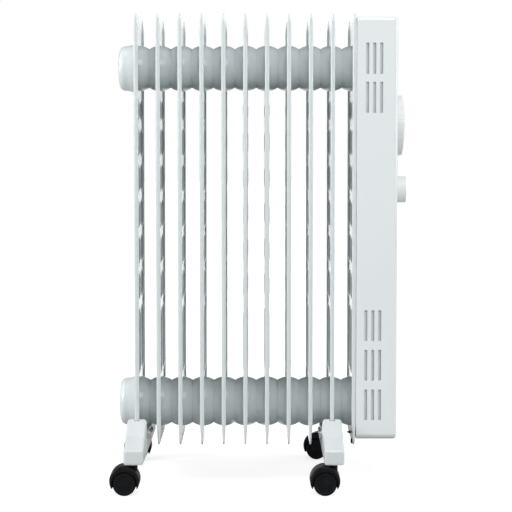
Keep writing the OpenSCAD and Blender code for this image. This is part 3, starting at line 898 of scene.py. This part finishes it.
def build_panel_marks():
    """Ticks round the thermostat dial and the numbers 0 to 3 above the selector knob."""
    face_x = box_high.x
    dial_z, knob_z = centre("thermostat_dial").z, centre("selector_knob").z
    dial_ring = radius_of("thermostat_dial") + 3 * MM
    knob_ring = radius_of("selector_knob") + 6.5 * MM
    ticks, digits = [], []
    for k in range(19):
        angle = -135 + 15 * k
        a = math.radians(angle)
        length = 3 * MM if k % 3 == 0 else 1.6 * MM
        reach = dial_ring + length / 2
        ticks.append((reach * math.sin(a), dial_z + reach * math.cos(a), length, 0.6 * MM, angle))
    for k in range(4):
        a = math.radians(-67.5 + 45 * k)
        y, z = knob_ring * math.sin(a), knob_z + knob_ring * math.cos(a)
        digits.append(digit(str(k), face_x, y, z, 7 * MM))
    marks = to_object("panel_marks", *merged(marks_on(face_x, ticks), *digits),
                      MATERIALS["switch_plastic"], 30)
    rides(marks, "radiator", "switch_plastic")


def build_controls():
    """Thermostat dial, selector knob, the panel's marks and the knobs' pointers."""
    dial_shape = knob_shape(
        "thermostat_dial", scoop=2.2 * MM, bar_half=5.5 * MM,
        flutes=60, flute_depth=0.35 * MM, crown=DIAL_CROWN)
    dial = to_object("dial", *dial_shape, MATERIALS["knob_plastic"], 45)
    rides(dial, "thermostat_control", "knob_plastic", "thermostat_dial")
    selector_shape = knob_shape(
        "selector_knob", scoop=5.5 * MM, bar_half=2.6 * MM,
        flutes=36, flute_depth=0.3 * MM, crown=SELECTOR_CROWN)
    knob = to_object("power_knob", *selector_shape, MATERIALS["knob_plastic"], 45)
    rides(knob, "selector_control", "knob_plastic", "selector_knob")
    build_panel_marks()
    build_pointer("dial_pointer", "thermostat_dial", "thermostat_control", 0.70, 0.93, DIAL_CROWN)
    build_pointer("knob_pointer", "selector_knob", "selector_control", 0.30, 0.80, SELECTOR_CROWN)


def build_lamp():
    """Bezel and domed lens of the neon lamp."""
    z = centre("indicator_lamp").z
    radius = radius_of("indicator_lamp")
    face = box_high.x
    seat = face - 0.4 * MM
    barrel = radius - 0.4 * MM
    dome = [(face - 16 * MM, 0), (face - 16 * MM, barrel), (seat, barrel)]
    dome += [
        (seat + 1.1 * MM * math.sin(a), (radius - 0.5 * MM) * math.cos(a))
        for a in np.linspace(0, math.pi / 2, 8)
    ]
    glass = to_object("lamp_glass", *moved(lathe(dome, 48), (0, 0, z)), MATERIALS["lamp_lens"])
    rides(glass, "radiator", "lamp_lens", "indicator_lamp")
    ring = [
        (face - 0.6 * MM, radius - 0.2 * MM), (face - 0.6 * MM, radius + 1.5 * MM),
        (face + 0.1 * MM, radius + 1.5 * MM), (face + 0.5 * MM, radius + 1.1 * MM),
        (face + 0.6 * MM, radius + 0.5 * MM), (face + 0.4 * MM, radius),
    ]
    bezel = to_object("lamp_bezel", *moved(lathe(ring, 64, loop=True), (0, 0, z)),
                      MATERIALS["knob_plastic"])
    rides(bezel, "radiator", "knob_plastic")


def build_gland():
    """Rubber strain-relief gland in the rear wall, with an open bore."""
    low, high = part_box("cord_gland")
    at = centre("cord_gland")
    wall = box_high.y
    bore, stub = GLAND_BORE_R, GLAND_STUB_R
    flange = radius_of("cord_gland")
    end = high.y
    profile = [
        (low.y, bore), (low.y, stub), (wall - 4.2 * MM, stub),
        (wall - 4.2 * MM, flange - 0.4 * MM), (wall - 3.8 * MM, flange),
        (wall - 1.2 * MM, flange), (wall - 1.2 * MM, stub),
        (wall, stub), (wall, flange - 0.5 * MM),
    ]
    profile += arc(wall + 0.6 * MM, flange - 0.6 * MM, 0.6 * MM, 135, 90, 3)
    profile += arc(wall + 2.0 * MM, flange - 1.0 * MM, 1.0 * MM, 90, 0, 5)
    profile += [(wall + 3.0 * MM, stub + 0.5 * MM), (wall + 3.3 * MM, stub)]
    profile += [(end - 0.8 * MM, stub - 0.3 * MM), (end - 0.1 * MM, stub - 0.9 * MM)]
    profile += [(end, stub - 1.6 * MM), (end - 0.3 * MM, bore + 0.3 * MM), (end - 0.8 * MM, bore)]
    part = moved(about(lathe(profile, 64, loop=True), "y"), (at.x, 0, at.z))
    gland = to_object("strain_relief_gland", *part, MATERIALS["gland_rubber"])
    rides(gland, "radiator", "gland_rubber", "cord_gland")


# ---------------------------------------------------------------- feet and casters

def foot_top(y):
    """Height of a foot's top along it, with its bends eased a little."""
    reach = np.abs(np.abs(y) + np.linspace(-FOOT_EASE, FOOT_EASE, 9))
    return float(np.mean(np.interp(reach, *zip(*FOOT_LINE))))


def foot_loop(half_x, half_y, inset, heights):
    """Plan outline of a foot as a loop of points, with a height for each station."""
    right, left = [], []
    for y, z in heights:
        over = max(abs(y) - (half_y - FOOT_CORNER), 0)
        width = half_x - FOOT_CORNER + math.sqrt(max(FOOT_CORNER**2 - over**2, 0)) - inset
        at = y * (half_y - inset) / half_y
        right.append((width, at, z))
        left.append((-width, at, z))
    return right + left[::-1]


def foot_shape(node):
    """Pressed channel open below: an outer and an inner skin along the foot's top line."""
    low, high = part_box(node)
    half_x, half_y = (high.x - low.x) / 2, (high.y - low.y) / 2
    stations = set(FOOT_STATIONS)
    for bend, _ in FOOT_LINE[1:-1]:
        stations |= {bend + step * MM for step in (-2.4, -1.2, 0, 1.2, 2.4)}
    ys = sorted({-y for y in stations} | stations)
    tops = [foot_top(y) for y in ys]

    def skin(sheet):
        radius = FOOT_EDGE - sheet
        loops = [
            foot_loop(half_x, half_y, sheet + inset * MM, [(y, FOOT_LOW_Z + rise * MM) for y in ys])
            for inset, rise in ((0.7, 0), (0.2, 1.2), (0, 3))
        ]
        for angle in range(0, 91, 15):
            a = math.radians(angle)
            drop = sheet + radius * (1 - math.sin(a))
            inset = sheet + radius * (1 - math.cos(a))
            heights = [(y, top - drop) for y, top in zip(ys, tops)]
            loops.append(foot_loop(half_x, half_y, inset, heights))
        return loops

    outer, inner = skin(0), skin(FOOT_SHEET)
    verts, faces = loft(inner[::-1] + outer, cap_first=False, cap_last=False)
    # Both tops bend, so they are closed by strips across, not by one flat face.
    count = len(ys)
    for base in (0, (2 * len(outer) - 1) * 2 * count):
        for j in range(count - 1):
            right, left = base + j, base + 2 * count - 1 - j
            faces.append((right, right + 1, left - 1, left))
    return verts, faces


def build_foot(name, node):
    """One foot, slotted for its fin, with a plated socket for each caster's stem."""
    foot = to_object(name, *foot_shape(node), MATERIALS["foot_paint"], 40)
    slot_half, slot_reach = 3.2 * MM, 57 * MM
    cut(foot, prism(rectangle(-slot_half, slot_half, 50 * MM, 95 * MM), -slot_reach, slot_reach))
    finish_edges(foot, 0, 40)
    foot.location.x = centre(node).x
    rides(foot, "radiator", "foot_paint", node)
    socket = about(lathe([
        (41.3 * MM, 6.1 * MM), (41.3 * MM, 9.4 * MM), (42 * MM, 9.9 * MM),
        (57 * MM, 9.9 * MM), (57 * MM, 6.1 * MM),
    ], 48, loop=True), "z")
    stem_y = abs(centre("caster_fr_stem").y)
    tubes = to_object(f"{name}_sockets", *merged(*(
        moved(socket, (0, y, 0)) for y in (-stem_y, stem_y))), MATERIALS["plated_steel"])
    tubes.location.x = centre(node).x
    rides(tubes, "radiator", "plated_steel")


def hood_shape():
    """Caster hood about its stem: rounded drum with two wheel pockets and a neck."""
    shoulder = HOOD_R - HOOD_EDGE
    drum = [(-HOOD_HALF, 0), (-HOOD_HALF, 8 * MM), (-HOOD_HALF, shoulder - 1 * MM)]
    drum += arc(-HOOD_HALF + HOOD_EDGE, shoulder, HOOD_EDGE, 180, 90, 7)
    drum += arc(HOOD_HALF - HOOD_EDGE, shoulder, HOOD_EDGE, 90, 0, 7)
    drum += [(HOOD_HALF, shoulder - 1 * MM), (HOOD_HALF, 8 * MM), (HOOD_HALF, 0)]
    part = moved(about(lathe(drum, 128), "y"), (-TRAIL, 0, HOOD_Z))
    hood = to_object("hood_shape", *part, MATERIALS["caster_nylon"], 30)
    neck = [(HOOD_Z, 0), (HOOD_Z, NECK_R), (36.6 * MM, NECK_R), (38.2 * MM, NECK_R - 0.1 * MM)]
    neck += [(NECK_TOP - 0.2 * MM, NECK_R - 0.5 * MM), (NECK_TOP, NECK_R - 1.2 * MM), (NECK_TOP, 0)]
    combine(hood, about(lathe(neck, 64), "z"), "UNION")
    pockets = []
    for side in (-1, 1):
        near, far = side * WEB_HALF, side * 16 * MM
        pocket = [(near, 0), (near, POCKET_R - 0.8 * MM),
                  (side * (WEB_HALF + 0.8 * MM), POCKET_R), (far, POCKET_R), (far, 0)]
        pockets.append(moved(about(lathe(pocket, 128), "y"), (-TRAIL, 0, WHEEL_R)))
    ground = rectangle(-45 * MM, 20 * MM, -5 * MM, HOOD_CUT_Z)
    cut(hood, merged(*pockets), prism(ground, -20 * MM, 20 * MM))
    finish_edges(hood, 0.3 * MM, 35)
    apply_modifiers(hood)
    return mesh_of(hood)


def wheel_shape(side):
    """One wheel about its own axle: crowned tread, dished disc, raised hub and rim line."""
    near, far = WEB_HALF + 0.4 * MM, WHEEL_FAR
    r = WHEEL_R
    profile = [(near, 0), (near, r - 1.6 * MM)]
    profile += arc(near + 1.2 * MM, r - 1.4 * MM, 1.2 * MM, 180, 110, 4)
    profile += [((near + far) / 2, r)]
    profile += arc(far - 1.6 * MM, r - 1.7 * MM, 1.6 * MM, 70, 10, 5)
    profile += [(far, r - 2.8 * MM), (far - 0.1 * MM, r - 3.4 * MM)]
    profile += [(far - 0.7 * MM, r - 3.9 * MM), (far - 0.8 * MM, r - 4.4 * MM)]
    profile += [
        (far - dip * MM, hub * MM) for dip, hub in
        ((0.6, 5.2), (0.5, 4.4), (0.1, 4.0), (0, 3.4), (0.05, 2.2), (0.3, 0))
    ]
    part = about(lathe([(side * x, q) for x, q in profile], 112), "y")
    return mesh_of(to_object("wheel_shape", *part, MATERIALS["wheel_nylon"], 40))


def build_casters():
    """Four hoods and eight wheels from shared meshes, turned as the CAD casters trail."""
    hood = hood_shape()
    wheels = {"front": wheel_shape(-1), "rear": wheel_shape(1)}
    for at in CASTERS:
        stem, axle = centre(f"caster_{at}_stem"), centre(f"caster_{at}_axle")
        turn = math.atan2(stem.y - axle.y, stem.x - axle.x)
        spin = Matrix.Rotation(turn, 4, "Z")
        cover = placed(f"hood_{at}", hood)
        cover.matrix_world = Matrix.Translation((stem.x, stem.y, 0)) @ spin
        rides(cover, f"caster_{at}_swivel", "caster_nylon", f"caster_{at}_hood")
        for end, mesh in wheels.items():
            wheel = placed(f"wheel_{at}_{end}", mesh)
            wheel.matrix_world = Matrix.Translation(axle) @ spin
            rides(wheel, f"caster_{at}_{end}_wheel", "wheel_nylon", f"caster_{at}_wheel_{end}")


# ---------------------------------------------------------------- CAD nodes that stay

KEPT = {
    "plated_steel": ["heating_element", "filler_plug", "heat_shield", "tilt_weight",
                     *[f"caster_{at}_{p}" for at in CASTERS for p in ("stem", "axle")]],
    "box_paint": ["back_plate"],
    "foot_paint": ["foot_screws"],
    "brass": ["element_flange", "thermostat_spindle", "selector_spindle"],
    "black_fixings": ["box_fixings", "thermal_cutout"],
    "knob_plastic": ["thermostat_body", "terminal_block", "tilt_switch"],
    "switch_plastic": ["selector_switch"],
    "lead_sleeve": ["wiring"],
}


def dress_kept_nodes():
    """Gives the CAD nodes that stay as they are their materials."""
    for material, nodes in KEPT.items():
        for node in nodes:
            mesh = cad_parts[node].data
            mesh.materials.clear()
            mesh.materials.append(MATERIALS[material])


# ---------------------------------------------------------------- stage

def build_stage():
    """Floor, just under the wheels."""
    half = FLOOR_HALF
    verts = [(-half, -half, 0), (half, -half, 0), (half, half, 0), (-half, half, 0)]
    floor = to_object("floor", verts, [(0, 1, 2, 3)], floor_paint())
    floor.location.z = -FLOOR_DROP


def soft_box(name, at, size, power):
    """A rectangular light that faces the middle of the heater."""
    light = bpy.data.lights.new(name, "AREA")
    light.shape = "RECTANGLE"
    light.size, light.size_y = size
    light.energy = power
    lamp = placed(name, light)
    lamp.location = at
    lamp.rotation_euler = (Vector(AIM) - Vector(at)).to_track_quat("-Z", "Y").to_euler()


def build_light():
    """White studio: a dim even fill, soft boxes at the corners and above, a white sweep behind."""
    world = bpy.data.worlds.new("studio")
    bpy.context.scene.world = world
    world.use_nodes = True
    tree = world.node_tree
    back = tree.nodes["Background"]
    back.inputs["Color"].default_value = (1, 1, 1, 1)
    place = tree.nodes.new("ShaderNodeTexCoord")
    split = tree.nodes.new("ShaderNodeSeparateXYZ")
    tree.links.new(place.outputs["Generated"], split.inputs["Vector"])
    sweep = ranged(tree, split.outputs["Y"], *SWEEP_SPREAD, *SWEEP_LEVELS)
    fill = ranged(tree, split.outputs["Z"], *FILL_SPREAD, *FILL_LEVELS)
    path = tree.nodes.new("ShaderNodeLightPath")
    mirrored = picked(tree, path.outputs["Is Glossy Ray"], sweep, fill)
    seen = picked(tree, path.outputs["Is Camera Ray"], 1.0, mirrored)
    tree.links.new(seen, back.inputs["Strength"])
    x, y, z = CORNER_AT
    for (x_side, y_side), power in CORNER_POWERS.items():
        soft_box("corner", (x_side * x, y_side * y, z), CORNER_SIZE, power)
    soft_box("top", TOP_AT, TOP_SIZE, TOP_POWER)
    soft_box("key", KEY_AT, KEY_SIZE, KEY_POWER)


def build_camera():
    """Long lens before the front, a little above the middle and looking slightly down."""
    camera = bpy.data.cameras.new("camera")
    camera.lens = LENS_LENGTH
    camera.shift_x, camera.shift_y = LENS_SHIFT
    eye = placed("camera", camera)
    eye.location = EYE
    eye.rotation_euler = (math.radians(90 - EYE_PITCH), 0, 0)
    bpy.context.scene.camera = eye


build_camera()
build_fins()
build_cap("header_cap_top", "end_cap_top")
build_cap("header_cap_bottom", "end_cap_bottom")
build_box()
build_controls()
build_lamp()
build_gland()
build_foot("foot_shell_left", "foot_left")
build_foot("foot_shell_right", "foot_right")
build_casters()
dress_kept_nodes()
build_stage()
build_light()
bpy.context.scene.view_settings.view_transform = "Standard"

bpy.context.view_layer.update()
